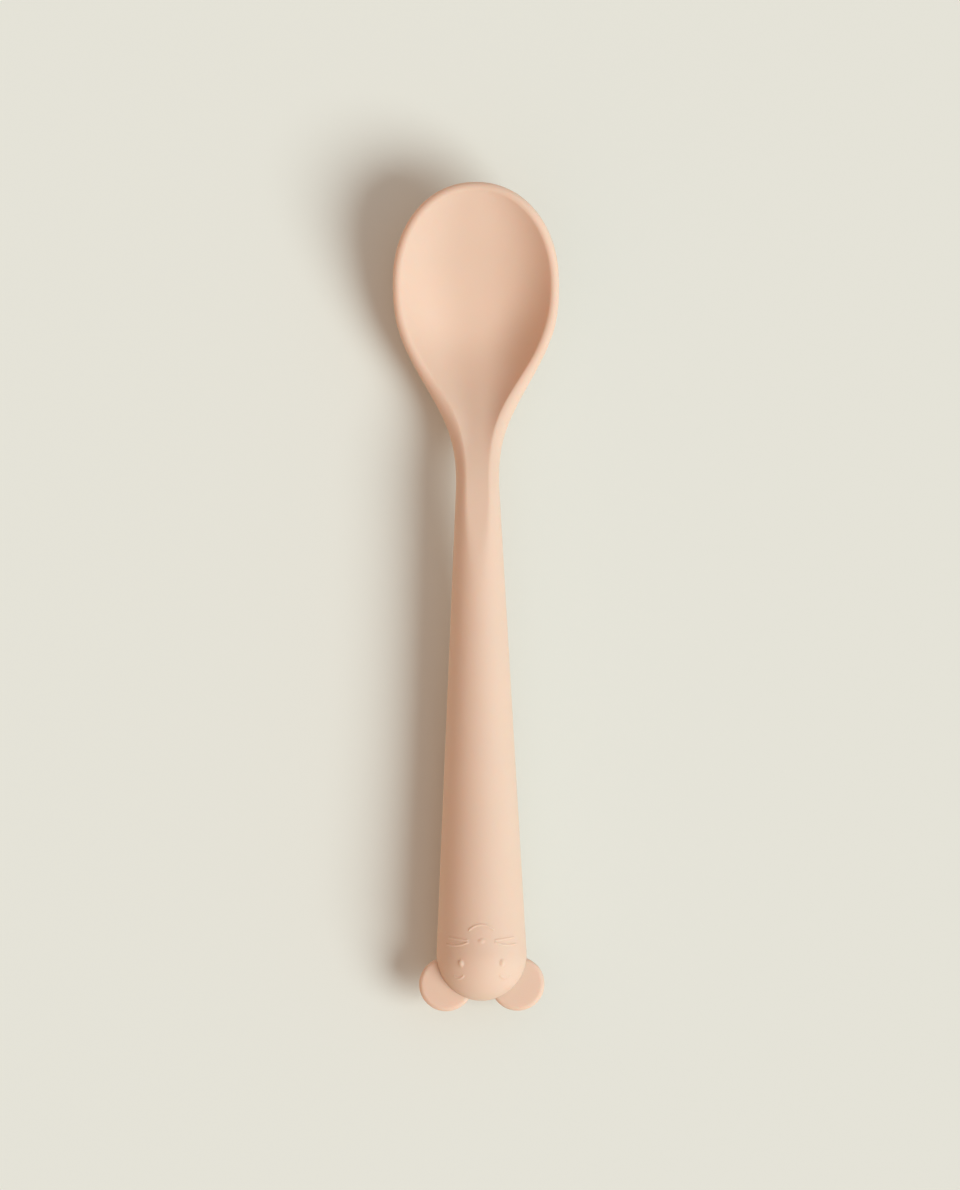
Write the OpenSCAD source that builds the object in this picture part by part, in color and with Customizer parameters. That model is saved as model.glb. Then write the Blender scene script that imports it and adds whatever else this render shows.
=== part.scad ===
/* [Bowl] */
// Width of the bowl over its rim
bowl_w = 29.1; // [20:0.1:36]
// From the tip of the bowl back to its widest line
tip_l = 17.6; // [12:0.1:26]
// From the widest line back to the neck
heel_l = 35.4; // [26:0.1:48]
// Fullness of the tip outline, 2 is an ellipse
tip_power = 2.1; // [1.8:0.05:3]
// Radius of the rounded rim
rim_r = 0.9; // [0.5:0.05:1]
// Lean of the wall where it runs into the rim
rim_lean = 46; // [30:1:60]
// Height of the rim at the tip
rim_tip_z = 15.2; // [12:0.1:18]
// Height of the rim at its lowest
rim_low_z = 7.2; // [6.5:0.1:9]
// From the tip back to the lowest point of the rim
rim_low_t = 33; // [28:0.1:38]
// Lateness of the rim's rise towards the tip
rim_power = 1.1; // [0.8:0.05:1.5]
// How far behind the neck the rim reaches the height of the handle's top
rim_run = 4; // [2:0.1:8]
// From the tip back to the lowest point of the dish
low_t = 27; // [22:0.1:30]
// How gently the dish turns up towards the tip
low_round = 9; // [3:0.1:12]
// How gently the underside turns up towards the tip
belly_round = 10; // [5:0.1:14]
// Wall under the lowest point of the dish
bowl_wall = 3.1; // [2.2:0.1:3.6]
// How far the round underside is cut off to make the foot
foot_cut = 0.45; // [0.1:0.05:0.5]
// Steepness of the dish beside its middle line
dish_power = 3; // [2:0.1:3.5]

/* [Neck and handle] */
// Width of the neck
neck_w = 7.54; // [6:0.1:10]
// Height to which the handle's middle line rises at the neck
neck_z = 10.2; // [9:0.1:11]
// How far behind the neck the handle starts to dip into the bowl
dip_run = 9; // [4:0.5:12]
// How far the dish cuts the top of the neck flat
neck_flat = 0.64; // [0.4:0.02:1]
// Radius of the round edge beside the flat
flat_fillet = 0.22; // [0.1:0.02:0.4]
// Turn down to which the shoulder of the flat reaches round the neck
side_turn = 30; // [20:1:40]
// Length over which the flat fades up the handle
scoop_run = 22; // [12:0.1:30]
// From the neck to the middle of the head
grip_l = 82.4; // [70:0.1:100]
// Length of the straight, level stretch of the handle before the head
level_l = 25; // [20:0.5:35]
// Lateness of the handle's rise from its level stretch to the neck
bend_power = 1.7; // [1.4:0.05:2.5]
// Diameter of the handle where it meets the head
butt_d = 15.7; // [12:0.1:18]

/* [Head] */
// Diameter of the round head
head_d = 15.8; // [13:0.1:20]
// Diameter of an ear
ear_d = 9.46; // [7:0.1:12]
// Thickness of an ear
ear_t = 2.4; // [2:0.1:4]
// Radius of an ear's rounded rim
ear_rim_r = 0.8; // [0.4:0.05:1]
// Turn of an ear from straight behind the head
ear_turn = 51.6; // [45:0.2:60]
// How far the middle of an ear lies outside the head
ear_out = 0.08; // [-0.5:0.02:1]
// How deep an ear's root is buried in the head
ear_root = 1.8; // [1:0.1:2.2]

/* [Face] */
// Radius of the bead that draws the face
line_r = 0.24; // [0.15:0.01:0.4]
// How far the bead stands out of the surface
line_h = 0.15; // [0.1:0.01:0.3]
// Radius of an eye's rounded ends
eye_r = 0.5; // [0.3:0.05:0.8]
// Length of an eye between its round ends
eye_l = 0.5; // [0.2:0.05:1]
// How far an eye stands out of the head
eye_h = 0.26; // [0.1:0.01:0.45]
// Turn of an eye from the top of the head
eye_turn = 26.5; // [15:0.5:35]
// From the middle of the head back to an eye
eye_back = 1.3; // [0.5:0.1:2.5]
// Radius of the arch of a brow about its eye
brow_r = 2.4; // [1.6:0.1:3]
// Spread of a brow about its eye
brow_spread = 38; // [20:1:60]
// Turn of a brow outward from straight behind its eye
brow_lean = 11; // [0:1:20]
// From the middle of the head forward to the nose
nose_fore = 2.7; // [2:0.1:4]
// Radius of the mouth about the nose
mouth_r = 2.9; // [2:0.1:4]
// Spread of the mouth's arc
mouth_spread = 100; // [60:1:120]
// Inner end of a whisker, turned from the top of the head
whisker_in = 20; // [15:1:30]
// Outer end of a whisker, turned from the top of the head
whisker_out = 48; // [38:1:60]
// Gap between the two whiskers of a side
whisker_gap = 0.95; // [0.7:0.05:1.5]
// Slant of the forward whisker
whisker_slant = 3; // [0:0.5:6]

/* [Core] */
// Radius of the core at the head
core_r = 3.4; // [2.4:0.1:4]
// Radius of the core at the neck
core_tip_r = 1.5; // [1.2:0.1:1.8]
// How far the core reaches past the neck into the heel
core_past = 2; // [0:0.5:3]
// Radius of the anchor flange in the head
flange_r = 4.6; // [4.2:0.1:5]
// Thickness of the anchor flange
flange_t = 2; // [1:0.1:3]
// Count of keying grooves round the core
groove_n = 4; // [2:1:6]
// Width of a keying groove
groove_w = 2; // [1:0.1:3]
// Depth of a keying groove
groove_depth = 0.6; // [0.3:0.1:0.8]

/* [Hidden] */
$fn = 72;
neck_t = tip_l + heel_l;
head_t = neck_t + grip_l;
joint_t = head_t - level_l;
ear_x = (head_d / 2 + ear_out) * sin(ear_turn);
ear_back = (head_d / 2 + ear_out) * cos(ear_turn);
part_l = head_t + ear_back + ear_d / 2;
tip_y = part_l / 2;
head_y = tip_y - head_t;
head_z = head_d / 2;
butt_slope = (butt_d - neck_w) / 2 / grip_l;
// Points round a section of the loft, and the part of them that the rim takes
ring_n = 48;
ring_step = 360 / ring_n;
rim_from = 30;
rim_steps = 2 * rim_from / ring_step;
top_steps = (180 - 2 * rim_from) / ring_step;
// Sections along the tip, the heel, the flattened neck and the rising handle
tip_n = 22;
heel_n = 30;
neck_n = 10;
rise_n = 8;
// How the loft ends inside the round handle: its step under the surface, its length and its taper there
joint_step = 0.02;
joint_depth = 2;
joint_taper = 0.6;
// Where along the heel the dish starts to turn into the round neck
blend_share = 0.3;
// Step of a rounded edge, and sides of the face's small rounds
arc_step = 15;
fine_n = 24;

function mix(a, b, s) = a + (b - a) * s;
function clip(s) = min(1, max(0, s));
function ease(s) = clip(s) * clip(s) * (3 - 2 * clip(s));
function flow(s) = pow(clip(s), 3) * (clip(s) * (6 * clip(s) - 15) + 10);
function full_share(s) = pow(abs(s), 2 / tip_power);

// Half width of the outline behind the widest line
function half_w(t) = t < neck_t
    ? mix(bowl_w / 2, neck_w / 2, flow((t - tip_l) / heel_l))
    : neck_w / 2 + butt_slope * (t - neck_t);
function fade(t) = ease((t - neck_t) / scoop_run);

// Heights along the middle line: straight but for its start towards the tip, steepest early towards the neck
neck_top_z = neck_z + neck_w / 2 - neck_flat;
dip_t = neck_t + dip_run;
rim_up = rim_r * cos(rim_lean);
dish_inset = rim_r * (1 + sin(rim_lean));
under_inset = rim_r * (1 - sin(rim_lean));
function turned_up(run, round) = norm([run, round]) - round;
function tip_side(t, inset, round) = turned_up(low_t - t, round) / turned_up(low_t - inset, round);
function neck_side(s) = 1 - pow(1 - clip(s), 3) * (1 + 3 * clip(s));
function heel_side(t) = neck_side((t - low_t) / (dip_t - low_t));
function dish_z(t) = t < low_t
    ? mix(bowl_wall, rim_tip_z + rim_up, tip_side(t, dish_inset, low_round))
    : mix(bowl_wall, neck_top_z, heel_side(t));
function under_z(t) = t < low_t
    ? mix(-foot_cut, rim_tip_z - rim_up, tip_side(t, under_inset, belly_round))
    : mix(-foot_cut, neck_z - neck_w / 2, heel_side(t));
function rim_z(t) = t < rim_low_t
    ? mix(rim_low_z, rim_tip_z, pow(ease((rim_low_t - t) / rim_low_t), rim_power))
    : mix(rim_low_z, neck_top_z - rim_r, neck_side((t - rim_low_t) / (neck_t + rim_run - rim_low_t)));
function line_z(t) = mix(head_z, neck_z, pow(clip((joint_t - t) / (joint_t - neck_t)), bend_power));
function axis_z(t) = line_z(t) - (neck_top_z - bowl_wall) * (1 - heel_side(t));

// One point of the dished section, each place given as [t, half width]
function rim_point(mid, outer, side, turn) = [
    side * mix(mid[1], outer[1], cos(turn)),
    mix(mid[0], outer[0], cos(turn)),
    rim_z(outer[0]) + rim_r * sin(turn)];
function wall_point(place, mid_z, edge_z, across) = [
    across * place[1],
    place[0],
    mix(mid_z, edge_z, pow(abs(across), dish_power))];
function bowl_point(places, a) =
    let (zr = rim_z(places[2][0]), across = cos(a) / cos(rim_from), rate = 90 / rim_from)
    a <= 180 - rim_from ? wall_point(places[0], dish_z(places[0][0]), zr + rim_up, across)
    : a < 180 + rim_from ? rim_point(places[1], places[2], -1, rim_lean + (180 - a) * rate)
    : a <= 360 - rim_from ? wall_point(places[3], under_z(places[3][0]), zr - rim_up, across)
    : rim_point(places[1], places[2], 1, rim_lean + (a - 360) * rate);

// Turn on the round rod for a turn of the section, so that its flat top ends where the dish ends
edge_turn = asin(1 - neck_flat / (neck_w / 2));
function side_mix(swing) = mix(-side_turn, edge_turn, (swing + rim_from) / (2 * rim_from));
function rod_turn(a) =
    a <= 180 - rim_from ? acos(cos(a) / cos(rim_from) * cos(edge_turn))
    : a < 180 + rim_from ? 180 - side_mix(180 - a)
    : a <= 360 - rim_from ? a
    : side_mix(a - 360);
function even_turn(a) = a > 360 - rim_from ? a - 360 : a;
function soft_min(a, b) =
    let (share = clip((1 + (b - a) / flat_fillet) / 2))
    mix(b, a, share) - flat_fillet * share * (1 - share);

// One point of the rod section, flattened on top near the neck
function rod_point(t, w, a) =
    let (tall = t < neck_t ? neck_w / 2 : w, turn = mix(rod_turn(a), even_turn(a), fade(t)),
         lift = tall * sin(turn), flat_z = mix(tall - neck_flat, tall + flat_fillet, fade(t)))
    [w * cos(turn), t, axis_z(t) + (lift > 0 && fade(t) < 1 ? soft_min(lift, flat_z) : lift)];

blend_t = tip_l + blend_share * heel_l;
insets = [dish_inset, rim_r, 0, under_inset];
function on_floor(p) = [p[0], p[1], max(0, p[2])];
function loft_ring(places) =
    let (t = places[2][0], w = places[2][1], share = flow((t - blend_t) / (neck_t - blend_t)))
    [for (j = [0 : ring_n - 1])
        let (a = rim_from + ring_step * j)
        on_floor(mix(bowl_point(places, a), rod_point(t, w, a), share))];
function tip_place(angle, inset) = [
    tip_l - (tip_l - inset) * full_share(sin(angle)),
    (bowl_w / 2 - inset) * full_share(cos(angle))];
function tip_ring(angle) = loft_ring([for (inset = insets) tip_place(angle, inset)]);
function back_ring(t) = loft_ring([for (inset = insets) [t, half_w(t) - inset]]);
function rod_ring(t, w) = [for (j = [0 : ring_n - 1]) rod_point(t, w, rim_from + ring_step * j)];

scoop_t = neck_t + scoop_run;
tip_arc = [for (k = [0 : rim_steps])
    rim_point(tip_place(90, rim_r), tip_place(90, 0), 0, rim_lean + 90 - 180 * k / rim_steps)];
rings = concat(
    [rod_ring(joint_t + joint_depth, half_w(joint_t) - joint_taper)],
    [for (k = [rise_n : -1 : 1])
        let (t = mix(scoop_t, joint_t, k / rise_n))
        rod_ring(t, half_w(t) - joint_step * k / rise_n)],
    [for (k = [neck_n : -1 : 1])
        let (t = mix(neck_t, scoop_t, k / neck_n))
        rod_ring(t, half_w(t))],
    [for (k = [heel_n : -1 : 1]) back_ring(mix(tip_l, neck_t, k / heel_n))],
    [for (k = [0 : tip_n - 1]) tip_ring(90 * k / tip_n)]);
ring_count = len(rings);
loft_points = [for (ring = concat(rings, [tip_arc])) for (p = ring) [p[0], tip_y - p[1], p[2]]];

function at(k, j) = k * ring_n + j % ring_n;
function arc_place(j) = j <= top_steps ? 0
    : j <= top_steps + rim_steps ? j - top_steps
    : j <= 2 * top_steps + rim_steps ? rim_steps
    : ring_n - j;
function tip_at(j) = ring_count * ring_n + arc_place(j);
last_ring = ring_count - 1;
loft_faces = concat(
    [[for (j = [ring_n - 1 : -1 : 0]) at(0, j)]],
    [for (k = [0 : last_ring - 1]) for (j = [0 : ring_n - 1]) [at(k, j), at(k + 1, j + 1), at(k + 1, j)]],
    [for (k = [0 : last_ring - 1]) for (j = [0 : ring_n - 1]) [at(k, j), at(k, j + 1), at(k + 1, j + 1)]],
    [for (j = [0 : ring_n - 1]) [at(last_ring, j), at(last_ring, j + 1), tip_at(j)]],
    [for (j = [0 : ring_n - 1]) if (arc_place(j) != arc_place(j + 1))
        [at(last_ring, j + 1), tip_at(j + 1), tip_at(j)]]);

module on_head() {
    translate([0, head_y, head_z]) children();
}

function cone_r(fore) = butt_d / 2 - butt_slope * fore;

// Bead drawn round the handle, from one turn to another
module whisker(side, fore, slant) {
    turn = whisker_out - whisker_in;
    translate([0, fore, 0])
        rotate([90, 0, side * slant])
        rotate([0, 0, 90 - side * (whisker_in + whisker_out) / 2 - turn / 2])
        rotate_extrude(angle = turn)
        translate([cone_r(fore) + line_h - line_r, 0])
        circle(line_r, $fn = fine_n);
}

// Flat arc of bead about the middle
module bead_arc(arc_r, mid, spread) {
    rotate([0, 0, mid - spread / 2])
        rotate_extrude(angle = spread)
        translate([arc_r, 0])
        circle(line_r, $fn = fine_n);
}

// Short rounded bead, lying along X
module pip() {
    rotate([0, 90, 0]) cylinder(h = eye_l, r = eye_r, center = true, $fn = fine_n);
    for (end = [-1, 1]) {
        translate([end * eye_l / 2, 0, 0]) sphere(eye_r, $fn = fine_n);
    }
}

module eye(side) {
    brow_z = sqrt(pow(head_d / 2, 2) - pow(brow_r, 2));
    rotate([0, side * eye_turn, 0]) rotate([asin(eye_back / (head_d / 2)), 0, 0]) {
        translate([0, 0, head_d / 2 + eye_h - eye_r]) rotate([0, 0, 90]) pip();
        translate([0, 0, brow_z + line_h - line_r]) bead_arc(brow_r, -90 + side * brow_lean, brow_spread);
    }
}

module nose() {
    translate([0, nose_fore, cone_r(nose_fore) + eye_h - eye_r]) pip();
}

// One arc about the nose, in a plane tilted so that it lies on the round handle
module mouth() {
    fore = nose_fore + mouth_r;
    tilt = atan(mouth_r / cone_r(fore) - butt_slope);
    arc_r = mouth_r * cos(tilt);
    translate([0, fore, cone_r(fore) + line_h - line_r])
        rotate([tilt, 0, 0])
        translate([0, -arc_r, 0])
        bead_arc(arc_r, 90, mouth_spread);
}

module face() {
    nose();
    mouth();
    for (side = [-1, 1]) {
        eye(side);
        whisker(side, nose_fore - whisker_gap / 2, 0);
        whisker(side, nose_fore + whisker_gap / 2, whisker_slant);
    }
}

module handle() {
    rotate([-90, 0, 0]) cylinder(h = level_l, r1 = butt_d / 2, r2 = half_w(joint_t));
    sphere(head_d / 2);
}

// Half outline of an ear, turned about its own axis
ear_outline = concat(
    [[0, -ear_t / 2]],
    [for (a = [-90 : arc_step : 0]) [
        ear_d / 2 - ear_rim_r + ear_rim_r * cos(a), ear_rim_r - ear_t / 2 + ear_rim_r * sin(a)]],
    [for (a = [0 : arc_step : 90]) [
        ear_d / 2 - ear_rim_r + ear_rim_r * cos(a), ear_t / 2 - ear_rim_r + ear_rim_r * sin(a)]],
    [[0, ear_t / 2]]);

module ear(side) {
    difference() {
        translate([side * ear_x, head_y - ear_back, head_z]) rotate_extrude() polygon(ear_outline);
        translate([0, head_y, head_z]) sphere(head_d / 2 - ear_root);
    }
}

// Half outline of the core from its flange in the head to its tip past the neck
core_rise = atan((axis_z(neck_t) - head_z) / grip_l);
core_l = grip_l / cos(core_rise) + core_past;
core_from = -flange_t / 2;
groove_pitch = grip_l / (groove_n + 1);
function core_at(s) = mix(core_r, core_tip_r, s / core_l);
core_outline = concat(
    [[0, core_from], [flange_r, core_from], [flange_r, -core_from], [core_at(-core_from), -core_from]],
    [for (g = [1 : groove_n]) let (s = g * groove_pitch) for (p = [
        [core_at(s), s],
        [core_at(s) - groove_depth, s],
        [core_at(s + groove_w) - groove_depth, s + groove_w],
        [core_at(s + groove_w), s + groove_w]]) p],
    [for (a = [0 : arc_step : 90]) [core_tip_r * cos(a), core_l - core_tip_r + core_tip_r * sin(a)]]);

module stiffening_core() {
    color("whitesmoke") on_head() rotate([core_rise - 90, 0, 0]) rotate_extrude() polygon(core_outline);
}

module left_ear() {
    color("peachpuff") ear(-1);
}

module right_ear() {
    color("peachpuff") ear(1);
}

module silicone_body() {
    color("peachpuff") difference() {
        union() {
            polyhedron(loft_points, loft_faces, convexity = 6);
            on_head() handle();
            on_head() face();
        }
        stiffening_core();
        left_ear();
        right_ear();
    }
}

silicone_body();
stiffening_core();
left_ear();
right_ear();
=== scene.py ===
import bmesh
import bpy
import math
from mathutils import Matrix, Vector


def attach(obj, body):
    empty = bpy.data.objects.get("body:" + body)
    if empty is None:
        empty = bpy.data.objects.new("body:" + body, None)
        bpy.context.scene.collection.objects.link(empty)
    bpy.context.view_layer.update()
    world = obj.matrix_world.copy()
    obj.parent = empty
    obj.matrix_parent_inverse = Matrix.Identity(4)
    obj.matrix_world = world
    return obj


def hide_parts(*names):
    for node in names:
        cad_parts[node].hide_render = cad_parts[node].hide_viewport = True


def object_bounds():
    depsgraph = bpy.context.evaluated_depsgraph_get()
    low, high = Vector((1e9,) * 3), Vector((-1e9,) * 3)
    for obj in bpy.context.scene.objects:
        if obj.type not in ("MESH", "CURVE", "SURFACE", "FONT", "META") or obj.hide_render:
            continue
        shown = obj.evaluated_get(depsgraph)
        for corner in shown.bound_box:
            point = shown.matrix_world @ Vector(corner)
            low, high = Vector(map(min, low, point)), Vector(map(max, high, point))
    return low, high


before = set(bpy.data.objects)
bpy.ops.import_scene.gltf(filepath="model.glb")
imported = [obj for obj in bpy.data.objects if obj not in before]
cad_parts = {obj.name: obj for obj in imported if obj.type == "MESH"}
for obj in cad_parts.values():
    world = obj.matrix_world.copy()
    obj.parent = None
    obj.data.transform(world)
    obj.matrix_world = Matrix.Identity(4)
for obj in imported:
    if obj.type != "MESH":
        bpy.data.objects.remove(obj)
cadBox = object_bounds()
scene = bpy.context.scene
scene.view_settings.view_transform = "Standard"
mm = 0.001  # pieces are modelled in millimetres and scaled to metres at the end
tipY = cadBox[1].y / mm
print("frame loaded, tip of the bowl at", round(tipY, 2), "mm")


def mix(a, b, share):
    return a + (b - a) * share


def clip(share):
    return min(1.0, max(0.0, share))


def ease(share):
    share = clip(share)
    return share * share * (3 - 2 * share)


def flow(share):  # smoother than ease: its bend starts and ends gently too
    share = clip(share)
    return share ** 3 * (share * (6 * share - 15) + 10)


def softMin(a, b, fillet):  # the lesser of two heights, rounded where they cross
    gap = clip(0.5 + (b - a) / (2 * fillet))
    return mix(b, a, gap) - fillet * gap * (1 - gap)


# Bowl, neck, handle and head: one moulded skin, lofted from the tip back

bowl = {
    "width": 29.1,
    "tipLength": 17.6,      # tip to widest line
    "heelLength": 35.4,     # widest line to neck
    "tipPower": 2.1,        # 2 is an ellipse
    "rimRadius": 0.9,
    "rimLean": 46.0,        # slope of the wall where it runs into the rim
    "heelRimRadius": 1.75,  # behind the widest line the rim turns into the neck's round flank
    "heelRimLean": 6.0,
    "rimSwell": 26.0,       # over this length
    "rimTipZ": 15.2,
    "rimLowZ": 7.2,
    "rimLowPlace": 33.0,    # tip to the lowest point of the rim
    "rimRisePower": 1.1,
    "rimRun": 4.0,          # the rim reaches the neck's height this far behind it
    "lowPlace": 27.0,       # tip to the lowest point of the dish
    "wall": 3.1,
    "footCut": 0.45,
    "dishPower": 3.0,
    "lowRound": 9.0,        # how gently the dish turns up towards the tip
    "bellyRound": 10.0,     # and the underside
    "blendShare": 0.3,      # where along the heel the dish turns into the neck
    "rimFrom": 30.0,        # turn at which the dish gives way to the rim
}
handle = {
    "neckWidth": 7.54,
    "neckZ": 10.2,
    "levelLength": 25.0,    # straight stretch before the head
    "bendPower": 1.7,       # how late the axis rises from there to the neck
    "dipRun": 9.0,          # the dip towards the bowl starts this far behind the neck
    "flat": 0.64,           # depth of the flat cut on top of the neck
    "flatFillet": 0.22,     # round edge beside the flat
    "flatFade": 0.55,       # and where the flat has run out
    "sideFrom": -30.0,      # the shoulder reaches down to this turn
    "scoopRun": 22.0,       # over which the flat runs out
    "gripLength": 82.4,
    "buttWidth": 15.82,     # lets the handle leave the head's ball without a crease
}
head = {
    "radius": 7.9,
}
grid = {
    "dishColumns": 48,
    "rimColumns": 20,
    "tipRows": 48,
    "heelRows": 72,
    "neckRows": 40,
    "gripRows": 60,
    "faceRows": 46,
    "crownRows": 26,
    "faceFore": 8.0,        # the fine zone reaches this far before and behind
    "faceBack": 5.6,        # the middle of the head
    "faceLow": 3.2,         # and down to this height over it
    "faceMargin": 0.5,      # left plain at the zone's fore end
    "faceCuts": 2,          # cuts across each edge in the zone
    "tipCrowding": 1.5,     # above 1 the rows crowd towards the bowl's widest line
    "merge": 0.0005,        # points this near are one
    "sliver": 0.0002,       # edges this short are taken out
}

neckPlace = bowl["tipLength"] + bowl["heelLength"]
headPlace = neckPlace + handle["gripLength"]
neckHalf = handle["neckWidth"] / 2
gripSlope = (handle["buttWidth"] / 2 - neckHalf) / handle["gripLength"]
neckTop = handle["neckZ"] + neckHalf - handle["flat"]
rimUp = bowl["rimRadius"] * math.cos(math.radians(bowl["rimLean"]))
headCentre = Vector((0.0, tipY - headPlace, head["radius"]))
dipPlace = neckPlace + handle["dipRun"]
levelPlace = headPlace - handle["levelLength"]


def rimShape(place):  # radius and lean
    share = ease((place - bowl["tipLength"]) / bowl["rimSwell"])
    lean = math.radians(mix(bowl["rimLean"], bowl["heelRimLean"], share))
    return mix(bowl["rimRadius"], bowl["heelRimRadius"], share), lean


def rimInsets(place):  # insets of the dish, the rim's middle, the outline itself and the underside
    radius, lean = rimShape(place)
    return radius * (1 + math.sin(lean)), radius, 0.0, radius * (1 - math.sin(lean))


tipInsets = rimInsets(0.0)


def gripRadius(fore):  # fore is measured from the middle of the head
    if fore > gripSlope * head["radius"]:
        return handle["buttWidth"] / 2 - gripSlope * fore
    return math.sqrt(head["radius"] ** 2 - fore ** 2)


def halfWidth(place):
    if place < neckPlace:
        return mix(bowl["width"] / 2, neckHalf, flow((place - bowl["tipLength"]) / bowl["heelLength"]))
    return gripRadius(headPlace - place)


def heelShare(place, low, end):  # 0 at the bowl's low point, 1 at the neck, steepest a third of the way
    ahead = clip((place - low) / (end - low))
    return 1 - (1 - ahead) ** 3 * (1 + 3 * ahead)


def tipShare(place, inset, soft):  # 0 at the bowl's low point, 1 at the tip, straight but for its start
    reach = math.hypot(bowl["lowPlace"] - inset, soft) - soft
    return (math.hypot(bowl["lowPlace"] - place, soft) - soft) / reach


def dishZ(place):
    if place < bowl["lowPlace"]:
        share = tipShare(place, tipInsets[0], bowl["lowRound"])
        return mix(bowl["wall"], bowl["rimTipZ"] + rimUp, share)
    return mix(bowl["wall"], neckTop, heelShare(place, bowl["lowPlace"], dipPlace))


def underZ(place):
    if place < bowl["lowPlace"]:
        share = tipShare(place, tipInsets[3], bowl["bellyRound"])
        return mix(-bowl["footCut"], bowl["rimTipZ"] - rimUp, share)
    share = heelShare(place, bowl["lowPlace"], dipPlace)
    return mix(-bowl["footCut"], handle["neckZ"] - neckHalf, share)


def rimZ(place):
    lowPlace = bowl["rimLowPlace"]
    if place < lowPlace:
        rise = ease((lowPlace - place) / lowPlace) ** bowl["rimRisePower"]
        return mix(bowl["rimLowZ"], bowl["rimTipZ"], rise)
    rise = heelShare(place, lowPlace, neckPlace + bowl["rimRun"])
    return mix(bowl["rimLowZ"], neckTop - bowl["rimRadius"], rise)


def axisZ(place):  # rises along the handle and dips into the bowl
    along = clip((levelPlace - place) / (levelPlace - neckPlace))
    dip = (neckTop - bowl["wall"]) * (1 - heelShare(place, bowl["lowPlace"], dipPlace))
    return mix(headCentre.z, handle["neckZ"], along ** handle["bendPower"]) - dip


def acrossFlat(turn):  # from 1 to -1 over the dish, the underside or the neck's flat
    return math.cos(math.radians(turn)) / math.cos(math.radians(bowl["rimFrom"]))


def bowlPoint(spots, turn):  # spots: place and half width of dish, rim, outline and underside
    dish, rim, outline, under = spots
    rimFrom = bowl["rimFrom"]
    radius, lean = rimShape(outline[0])
    edgeUp = radius * math.cos(lean)
    edgeZ = rimZ(outline[0]) + bowl["rimRadius"] - radius
    across = acrossFlat(turn)
    if rimFrom <= turn <= 180 - rimFrom:
        z = mix(dishZ(dish[0]), edgeZ + edgeUp, abs(across) ** bowl["dishPower"])
        return Vector((across * dish[1], dish[0], z))
    if 180 + rimFrom <= turn <= 360 - rimFrom:
        z = mix(underZ(under[0]), edgeZ - edgeUp, abs(across) ** bowl["dishPower"])
        return Vector((across * under[1], under[0], z))
    right = turn < rimFrom or turn > 270
    swing = (turn + 180) % 360 - 180 if right else 180 - turn
    angle = lean + math.radians(swing * 90 / rimFrom)
    side = 1 if right else -1
    return Vector((
        side * mix(rim[1], outline[1], math.cos(angle)),
        mix(rim[0], outline[0], math.cos(angle)),
        edgeZ + radius * math.sin(angle),
    ))


def rodTurn(turn, edgeTurn):  # turn on a round rod whose flat top ends where the dish ends
    rimFrom, sideFrom = bowl["rimFrom"], handle["sideFrom"]
    if rimFrom <= turn <= 180 - rimFrom:
        return math.degrees(math.acos(acrossFlat(turn) * math.cos(math.radians(edgeTurn))))
    if 180 + rimFrom <= turn <= 360 - rimFrom:
        return turn
    if turn < rimFrom or turn > 270:
        swing = (turn + 180) % 360 - 180
        return mix(sideFrom, edgeTurn, (swing + rimFrom) / (2 * rimFrom))
    return 180 - mix(sideFrom, edgeTurn, (180 - turn + rimFrom) / (2 * rimFrom))


def rodPoint(place, radius, turn):
    fade = ease((place - neckPlace) / handle["scoopRun"])
    tall = neckHalf if place < neckPlace else radius
    edgeTurn = math.degrees(math.asin(1 - handle["flat"] / neckHalf))
    evenTurn = turn - 360 if turn > 360 - bowl["rimFrom"] else turn
    angle = math.radians(mix(rodTurn(turn, edgeTurn), evenTurn, fade))
    lift = tall * math.sin(angle)
    if lift > 0 and fade < 1:
        fillet = mix(handle["flatFillet"], handle["flatFade"], fade)
        flatZ = mix(tall - handle["flat"], tall + fillet, fade)
        lift = softMin(lift, flatZ, fillet)
    return Vector((radius * math.cos(angle), place, axisZ(place) + lift))


def tipSpot(angle, inset):  # place and half width on the rounded front of the outline
    fullness = 2 / bowl["tipPower"]
    length, half = bowl["tipLength"] - inset, bowl["width"] / 2 - inset
    place = bowl["tipLength"] - length * math.sin(angle) ** fullness
    return place, half * max(0.0, math.cos(angle)) ** fullness


def bodyPoint(row, turn):
    kind, value = row
    if kind == "crown":  # back of the head
        ring, back = head["radius"] * math.cos(value), head["radius"] * math.sin(value)
        c, s = math.cos(math.radians(turn)), math.sin(math.radians(turn))
        return Vector((ring * c, headPlace + back, headCentre.z + ring * s))
    if kind == "grip":
        return rodPoint(value, halfWidth(value), turn)
    if kind == "tip":
        spots = [tipSpot(value, inset) for inset in tipInsets]
    else:
        spots = [(value, halfWidth(value) - inset) for inset in rimInsets(value)]
    place, half = spots[2]
    blendFrom = bowl["tipLength"] + bowl["blendShare"] * bowl["heelLength"]
    share = flow((place - blendFrom) / (neckPlace - blendFrom))
    point = mix(bowlPoint(spots, turn), rodPoint(place, half, turn), share)
    point.z = max(0.0, point.z)  # the flat foot
    return point


def spread(first, last, count):  # evenly spaced values that leave out the last
    return [mix(first, last, k / count) for k in range(count)]


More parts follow.
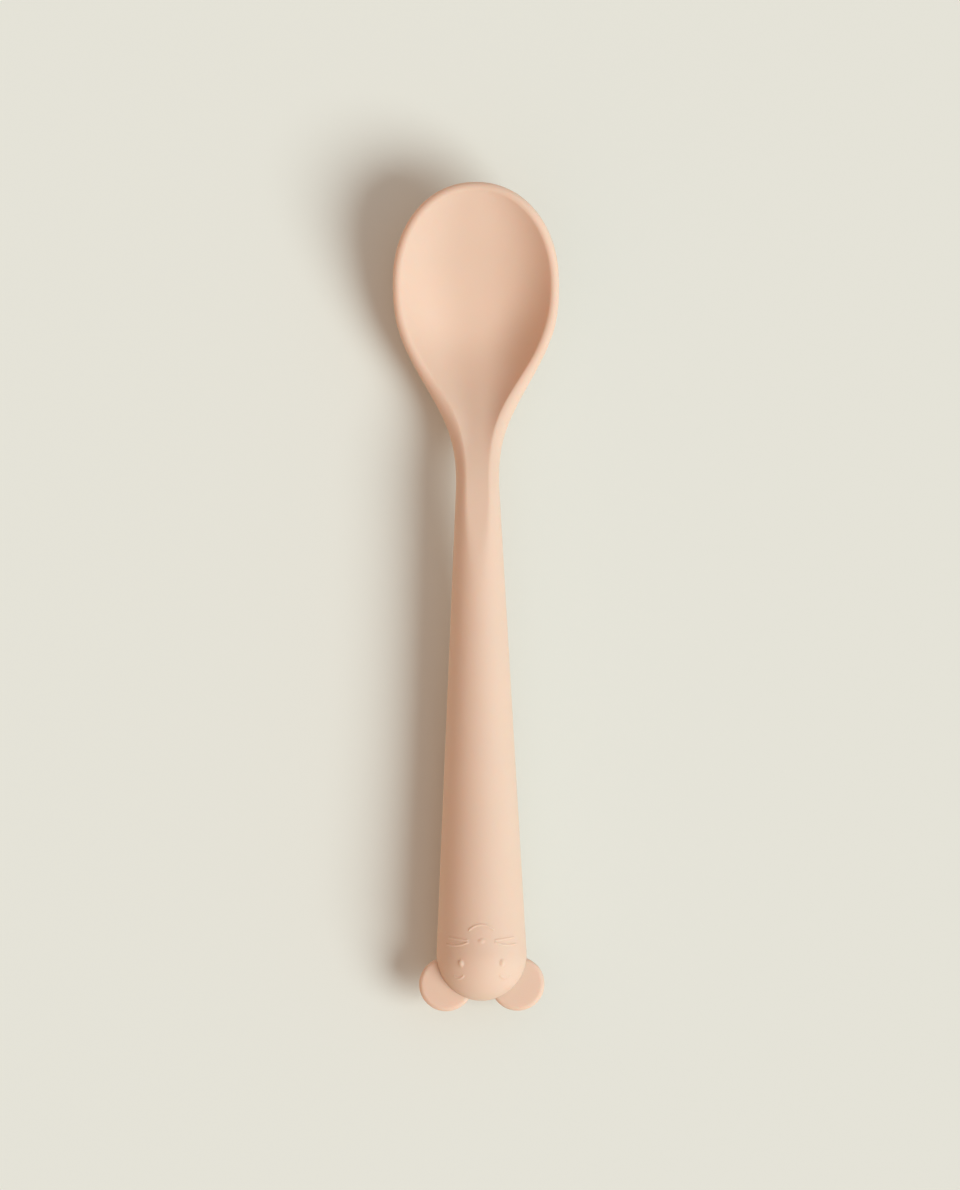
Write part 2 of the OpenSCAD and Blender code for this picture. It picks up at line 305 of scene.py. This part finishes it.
def bodyRows():
    fineFrom = headPlace - grid["faceFore"]
    neckEnd = neckPlace + handle["scoopRun"]
    backAngle = math.asin(grid["faceBack"] / head["radius"])
    tipShares = spread(1.0, 0.0, grid["tipRows"])
    rows = [("tip", math.pi / 2 * share ** grid["tipCrowding"]) for share in tipShares]
    rows += [("heel", place) for place in spread(bowl["tipLength"], neckPlace, grid["heelRows"])]
    rows += [("grip", place) for place in spread(neckPlace, neckEnd, grid["neckRows"])]
    rows += [("grip", place) for place in spread(neckEnd, fineFrom, grid["gripRows"])]
    rows += [("grip", place) for place in spread(fineFrom, headPlace, grid["faceRows"])]
    rows += [("crown", angle) for angle in spread(0.0, backAngle, grid["crownRows"])]
    rows += [("crown", angle) for angle in spread(backAngle, math.pi / 2, grid["crownRows"])]
    return rows + [("crown", math.pi / 2)]


def bodyTurns():
    rimFrom = bowl["rimFrom"]
    turns = spread(270, 360 - rimFrom, grid["dishColumns"] // 2)
    turns += spread(360 - rimFrom, 360 + rimFrom, grid["rimColumns"])
    turns += spread(360 + rimFrom, 540 - rimFrom, grid["dishColumns"])
    turns += spread(540 - rimFrom, 540 + rimFrom, grid["rimColumns"])
    turns += spread(540 + rimFrom, 630, grid["dishColumns"] // 2) + [630]
    return [turn % 360 for turn in turns]


# Raised face on the head, drawn as strokes in plan: right of the middle, and fore of the head's middle

face = {
    "lineWidth": 0.26,      # half width of a drawn line
    "lineHeight": 0.13,
    "eyeAt": (3.6, -1.2),
    "eyeSize": (0.58, 0.85),
    "eyeHeight": 0.31,
    "noseAt": (0.0, 2.65),
    "noseSize": (0.76, 0.54),
    "noseHeight": 0.16,
    "mouthRadius": 2.85,
    "mouthSpread": 47.0,
    "whiskers": [[(2.45, 2.40), (4.2, 1.90), (6.0, 2.10)], [(2.5, 2.78), (4.1, 2.98), (5.6, 3.24)]],
    "brow": [(3.25, -3.45), (4.05, -3.95), (4.85, -3.55)],
    "linePoints": 9,
    "mouthPoints": 13,
    "lineReach": 3.0,       # lines further off than this raise nothing
    "pipReach": 2.0,        # nor do eyes and nose
    "beadPower": 1.5,       # how softly a bead's foot runs into the skin
}


def onSkin(side, fore):
    return Vector((side, fore, math.sqrt(max(0.0, gripRadius(fore) ** 2 - side ** 2))))


def bowed(start, middle, end):  # points of a curve through three points
    points = []
    for k in range(face["linePoints"]):
        u = k / (face["linePoints"] - 1)
        a, b, c = (1 - u) * (1 - 2 * u), 4 * u * (1 - u), u * (2 * u - 1)
        points.append(onSkin(*(a * p + b * q + c * r for p, q, r in zip(start, middle, end))))
    return points


def faceStrokes():
    noseX, noseFore = face["noseAt"]
    spreadAngle = math.radians(face["mouthSpread"])
    mouth = []
    for k in range(face["mouthPoints"]):
        angle = mix(-spreadAngle, spreadAngle, k / (face["mouthPoints"] - 1))
        mouth.append(onSkin(
            noseX + face["mouthRadius"] * math.sin(angle),
            noseFore + face["mouthRadius"] * math.cos(angle)))
    strokes = [mouth]
    for side in (-1, 1):
        for curve in face["whiskers"] + [face["brow"]]:
            strokes.append(bowed(*[(side * x, fore) for x, fore in curve]))
    return strokes


def gapTo(point, stroke):  # least distance to a drawn line
    best = math.inf
    for a, b in zip(stroke, stroke[1:]):
        along = b - a
        share = clip((point - a).dot(along) / along.length_squared)
        best = min(best, (point - a - along * share).length_squared)
    return math.sqrt(best)


def dome(share):  # rounded bead with soft feet, share is 0 in the middle and 1 at the edge
    return (1 - share * share) ** face["beadPower"] if share < 1 else 0.0


def faceLift(point, strokes):
    lift = 0.0
    for stroke in strokes:
        marks = (stroke[0], stroke[len(stroke) // 2], stroke[-1])
        if min((point - mark).length for mark in marks) < face["lineReach"]:
            lift = max(lift, face["lineHeight"] * dome(gapTo(point, stroke) / face["lineWidth"]))
    pips = [(face["noseAt"], face["noseSize"], face["noseHeight"])]
    for side in (-1, 1):
        pips.append(((side * face["eyeAt"][0], face["eyeAt"][1]), face["eyeSize"], face["eyeHeight"]))
    for at, size, height in pips:
        centre = onSkin(*at)
        gap = point - centre
        if gap.length < face["pipReach"]:
            outward = Vector((centre.x, min(0.0, centre.y), centre.z)).normalized()
            aside = Vector((0, 1, 0)).cross(outward).normalized()
            ahead = outward.cross(aside)
            share = math.hypot(gap.dot(aside) / size[0], gap.dot(ahead) / size[1])
            lift = max(lift, height * dome(share))
    return lift


def inFace(point):
    local = point - headCentre
    return -grid["faceBack"] < local.y < grid["faceFore"] - grid["faceMargin"] and local.z > grid["faceLow"]


def raiseFace(bm):
    fine = [f for f in bm.faces if inFace(f.calc_center_median())]
    edges = list({e for f in fine for e in f.edges})
    bmesh.ops.subdivide_edges(bm, edges=edges, cuts=grid["faceCuts"], use_grid_fill=True)
    strokes = faceStrokes()
    raised = 0
    for v in bm.verts:
        if not inFace(v.co):
            continue
        local = v.co - headCentre
        if local.y > 0:
            stretch = gripRadius(local.y) / math.hypot(local.x, local.z)
            skin = Vector((local.x * stretch, local.y, local.z * stretch))
        else:
            skin = local.normalized() * head["radius"]
        lift = faceLift(skin, strokes)
        outward = Vector((skin.x, min(0.0, skin.y), skin.z)).normalized()
        v.co = headCentre + skin + outward * lift
        raised += lift > 0
    print("face raised on", raised, "points")


def finishMesh(bm, name):
    bmesh.ops.remove_doubles(bm, verts=bm.verts[:], dist=grid["merge"])
    bmesh.ops.dissolve_degenerate(bm, edges=bm.edges[:], dist=grid["sliver"])
    bmesh.ops.recalc_face_normals(bm, faces=bm.faces[:])
    bmesh.ops.scale(bm, verts=bm.verts[:], vec=(mm, mm, mm))
    for f in bm.faces:
        f.smooth = True
    mesh = bpy.data.meshes.new(name)
    bm.to_mesh(mesh)
    bm.free()
    piece = bpy.data.objects.new(name, mesh)
    scene.collection.objects.link(piece)
    return piece


def makeBody():
    rows, turns = bodyRows(), bodyTurns()
    across, along = len(turns) - 1, len(rows) - 1
    bm = bmesh.new()
    bmesh.ops.create_grid(bm, x_segments=across, y_segments=along, size=1)
    for v in bm.verts:
        turn = turns[round((v.co.x + 1) / 2 * across)]
        row = rows[round((v.co.y + 1) / 2 * along)]
        point = bodyPoint(row, turn)
        v.co = Vector((point.x, tipY - point.y, point.z))
    bmesh.ops.remove_doubles(bm, verts=bm.verts[:], dist=grid["merge"])
    raiseFace(bm)
    return finishMesh(bm, "spoonBody")


body = makeBody()
print("body lofted,", len(body.data.polygons), "faces")


# Ears: thin discs with round rims, their roots let into the head

ear = {
    "radius": 4.73,
    "thickness": 2.4,
    "rimRadius": 0.8,
    "aside": 6.25,
    "behind": 4.96,
    "rootAt": 5.6,          # the flat root's distance from the middle of the head
    "steps": 96,
    "rimStep": 10,          # degrees between the points of the rim
}


def makeEar(name, side):
    half, rim, radius = ear["thickness"] / 2, ear["rimRadius"], ear["radius"]
    outline = [(0.0, -half), ((radius - rim) / 2, -half)]
    for middle, first in ((-half + rim, -90), (half - rim, 0)):
        for degrees in range(first, first + 91, ear["rimStep"]):
            angle = math.radians(degrees)
            outline.append((radius - rim + rim * math.cos(angle), middle + rim * math.sin(angle)))
    outline += [((radius - rim) / 2, half), (0.0, half)]
    bm = bmesh.new()
    points = [bm.verts.new((r, 0, z)) for r, z in outline]
    lines = [bm.edges.new(pair) for pair in zip(points, points[1:])]
    bmesh.ops.spin(bm, geom=points + lines, cent=(0, 0, 0), axis=(0, 0, 1), angle=math.tau,
                   steps=ear["steps"], use_merge=True)
    bmesh.ops.remove_doubles(bm, verts=bm.verts[:], dist=grid["merge"])
    outward = Vector((side * ear["aside"], -ear["behind"], 0.0))
    bmesh.ops.translate(bm, verts=bm.verts[:], vec=headCentre + outward)
    rootNormal = outward.normalized()
    rootPoint = headCentre + rootNormal * ear["rootAt"]
    whole = bm.verts[:] + bm.edges[:] + bm.faces[:]
    cut = bmesh.ops.bisect_plane(bm, geom=whole, plane_co=rootPoint, plane_no=rootNormal, clear_inner=True)
    rootEdges = [e for e in cut["geom_cut"] if isinstance(e, bmesh.types.BMEdge)]
    bmesh.ops.contextual_create(bm, geom=rootEdges)
    return finishMesh(bm, name)


leftEar, rightEar = makeEar("leftEar", -1), makeEar("rightEar", 1)
print("ears spun")


# Finishes


class Value:  # a node's output, with arithmetic that adds Math nodes
    def __init__(self, tree, socket):
        self.tree, self.socket = tree, socket

    def node(self, kind, settings=None, output=0, **inputs):
        made = self.tree.nodes.new(kind)
        for name, setting in (settings or {}).items():
            setattr(made, name, setting)
        for name, value in inputs.items():
            numbered = name.startswith("in") and name[2:].isdigit()  # in0 is the first socket
            key = int(name[2:]) if numbered else name
            if isinstance(value, Value):
                self.tree.links.new(value.socket, made.inputs[key])
            else:
                made.inputs[key].default_value = value
        return Value(self.tree, made.outputs[output])

    def feed(self, socket):
        self.tree.links.new(self.socket, socket)

    def blend(self, first, second):  # from one colour to another
        return self.node("ShaderNodeMix", {"data_type": "RGBA"}, output=2, in0=self, in6=first, in7=second)

    def maths(self, operation, a, b):
        return self.node("ShaderNodeMath", {"operation": operation}, in0=a, in1=b)

    def __add__(self, other):
        return self.maths("ADD", self, other)

    def __radd__(self, other):
        return self.maths("ADD", other, self)

    def __sub__(self, other):
        return self.maths("SUBTRACT", self, other)

    def __mul__(self, other):
        return self.maths("MULTIPLY", self, other)

    def __rmul__(self, other):
        return self.maths("MULTIPLY", other, self)


def newFinish(name):
    finish = bpy.data.materials.new(name)
    finish.use_nodes = True
    tree = finish.node_tree
    shader = tree.nodes["Principled BSDF"]
    coords = tree.nodes.new("ShaderNodeTexCoord")
    return finish, shader, Value(tree, coords.outputs["Object"])


silicone = {
    "pale": (0.736, 0.511, 0.370, 1),
    "deep": (0.706, 0.489, 0.354, 1),
    "roughness": 0.72,
    "specular": 0.55,
    "subsurface": 0.35,
    "subsurfaceRadius": (1.0, 0.42, 0.25),
    "subsurfaceScale": 0.0022,
    "bump": 0.10,
    "bumpDepth": 0.00004,
    "cloudScale": 70.0,     # broad, faint change of colour and gloss
    "cloudGloss": 0.08,
    "grainScale": 3200.0,   # fine matte grain
    "grainGloss": 0.10,
}


def makeSilicone():
    finish, shader, coords = newFinish("silicone")
    shader.inputs["Specular IOR Level"].default_value = silicone["specular"]
    shader.inputs["Subsurface Weight"].default_value = silicone["subsurface"]
    shader.inputs["Subsurface Radius"].default_value = silicone["subsurfaceRadius"]
    shader.inputs["Subsurface Scale"].default_value = silicone["subsurfaceScale"]
    cloud = coords.node(
        "ShaderNodeTexNoise", Vector=coords, Scale=silicone["cloudScale"], Detail=3.0, Roughness=0.5)
    grain = coords.node(
        "ShaderNodeTexNoise", Vector=coords, Scale=silicone["grainScale"], Detail=2.0, Roughness=0.6)
    cloud.blend(silicone["deep"], silicone["pale"]).feed(shader.inputs["Base Color"])
    gloss = silicone["roughness"] + (grain - 0.5) * silicone["grainGloss"]
    gloss += (cloud - 0.5) * silicone["cloudGloss"]
    gloss.feed(shader.inputs["Roughness"])
    bump = coords.node(
        "ShaderNodeBump", Strength=silicone["bump"], Distance=silicone["bumpDepth"], Height=grain)
    bump.feed(shader.inputs["Normal"])
    return finish


core = {
    "pale": (0.87, 0.86, 0.83, 1),
    "deep": (0.83, 0.82, 0.79, 1),
    "roughness": 0.42,
    "markScale": 220.0,     # flow marks of the moulding
    "markGloss": 0.12,
}


def makeCorePlastic():
    finish, shader, coords = newFinish("corePlastic")
    flowMark = coords.node("ShaderNodeTexNoise", Vector=coords, Scale=core["markScale"], Detail=3.0)
    flowMark.blend(core["deep"], core["pale"]).feed(shader.inputs["Base Color"])
    gloss = core["roughness"] + (flowMark - 0.5) * core["markGloss"]
    gloss.feed(shader.inputs["Roughness"])
    return finish


siliconeFinish, coreFinish = makeSilicone(), makeCorePlastic()
for piece in (body, leftEar, rightEar):
    piece.data.materials.append(siliconeFinish)
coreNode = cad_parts["stiffening_core"]
coreNode.data.materials.clear()
coreNode.data.materials.append(coreFinish)
print("finishes set")

for piece, node in ((body, "silicone_body"), (leftEar, "left_ear"), (rightEar, "right_ear")):
    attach(piece, "root")
    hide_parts(node)


# Pale floor, soft light and the camera straight above

studio = {
    "floorSize": 6.0,
    "floorDrop": 0.00002,   # keeps the floor from sharing a plane with the spoon's foot
    "floorColour": (0.735, 0.722, 0.638, 1),
    "floorRoughness": 0.9,
    "floorSpecular": 0.1,
    "backColour": (0.783, 0.768, 0.679, 1),
    "leftColour": (0.650, 0.395, 0.252, 1),
    "rightColour": (0.410, 0.543, 0.640, 1),
    "keyStrength": 2.65,
    "keyColour": (0.90, 1.0, 1.055),
    "keyAngle": 35.0,
    "keyTurn": 27.0,        # below the right of the picture
    "keyRise": 44.5,
    "lens": 900.0,
    "sensor": 36.0,
    "fieldHeight": 208.7,   # mm of floor over the picture's height
    "aimX": 0.25,
    "aimY": 0.30,
    "roll": -0.48,
    "clipEnd": 20.0,
}


def makeFloor():
    bm = bmesh.new()
    bmesh.ops.create_grid(bm, x_segments=1, y_segments=1, size=studio["floorSize"] / 2)
    bmesh.ops.translate(bm, verts=bm.verts[:], vec=(0, 0, -studio["floorDrop"]))
    mesh = bpy.data.meshes.new("floor")
    bm.to_mesh(mesh)
    bm.free()
    floor = bpy.data.objects.new("floor", mesh)
    scene.collection.objects.link(floor)
    finish, shader, _ = newFinish("floorBoard")
    shader.inputs["Base Color"].default_value = studio["floorColour"]
    shader.inputs["Roughness"].default_value = studio["floorRoughness"]
    shader.inputs["Specular IOR Level"].default_value = studio["floorSpecular"]
    mesh.materials.append(finish)


def makeLight():
    world = bpy.data.worlds.new("studio")
    scene.world = world
    world.use_nodes = True
    tree = world.node_tree
    coords = tree.nodes.new("ShaderNodeTexCoord")
    towards = Value(tree, coords.outputs["Generated"])
    rightward = towards.node("ShaderNodeSeparateXYZ", Vector=towards)
    warm = towards.node("ShaderNodeBackground", Color=studio["leftColour"])
    cool = towards.node("ShaderNodeBackground", Color=studio["rightColour"])
    share = 0.5 + 0.5 * rightward  # 0 on the left, 1 on the right
    around = towards.node("ShaderNodeMixShader", in0=share, in1=warm, in2=cool)
    seen = towards.node("ShaderNodeLightPath")  # its first output tells camera rays
    back = towards.node("ShaderNodeBackground", Color=studio["backColour"])
    chosen = towards.node("ShaderNodeMixShader", in0=seen, in1=around, in2=back)
    chosen.feed(tree.nodes["World Output"].inputs["Surface"])
    lamp = bpy.data.lights.new("key", "SUN")
    lamp.energy = studio["keyStrength"]
    lamp.color = studio["keyColour"]
    lamp.angle = math.radians(studio["keyAngle"])
    turn, rise = math.radians(studio["keyTurn"]), math.radians(studio["keyRise"])
    source = Vector((math.cos(rise) * math.cos(turn), -math.cos(rise) * math.sin(turn), math.sin(rise)))
    key = bpy.data.objects.new("key", lamp)
    key.rotation_euler = source.to_track_quat("Z", "Y").to_euler()
    scene.collection.objects.link(key)


def makeCamera():
    lens = bpy.data.cameras.new("camera")
    lens.lens, lens.sensor_width = studio["lens"], studio["sensor"]
    lens.clip_end = studio["clipEnd"]
    camera = bpy.data.objects.new("camera", lens)
    rise = studio["fieldHeight"] * mm * studio["lens"] / studio["sensor"]
    camera.location = (studio["aimX"] * mm, studio["aimY"] * mm, rise)
    camera.rotation_euler = (0, 0, math.radians(studio["roll"]))
    scene.collection.objects.link(camera)
    scene.camera = camera


makeFloor()
makeLight()
makeCamera()
print("studio ready")
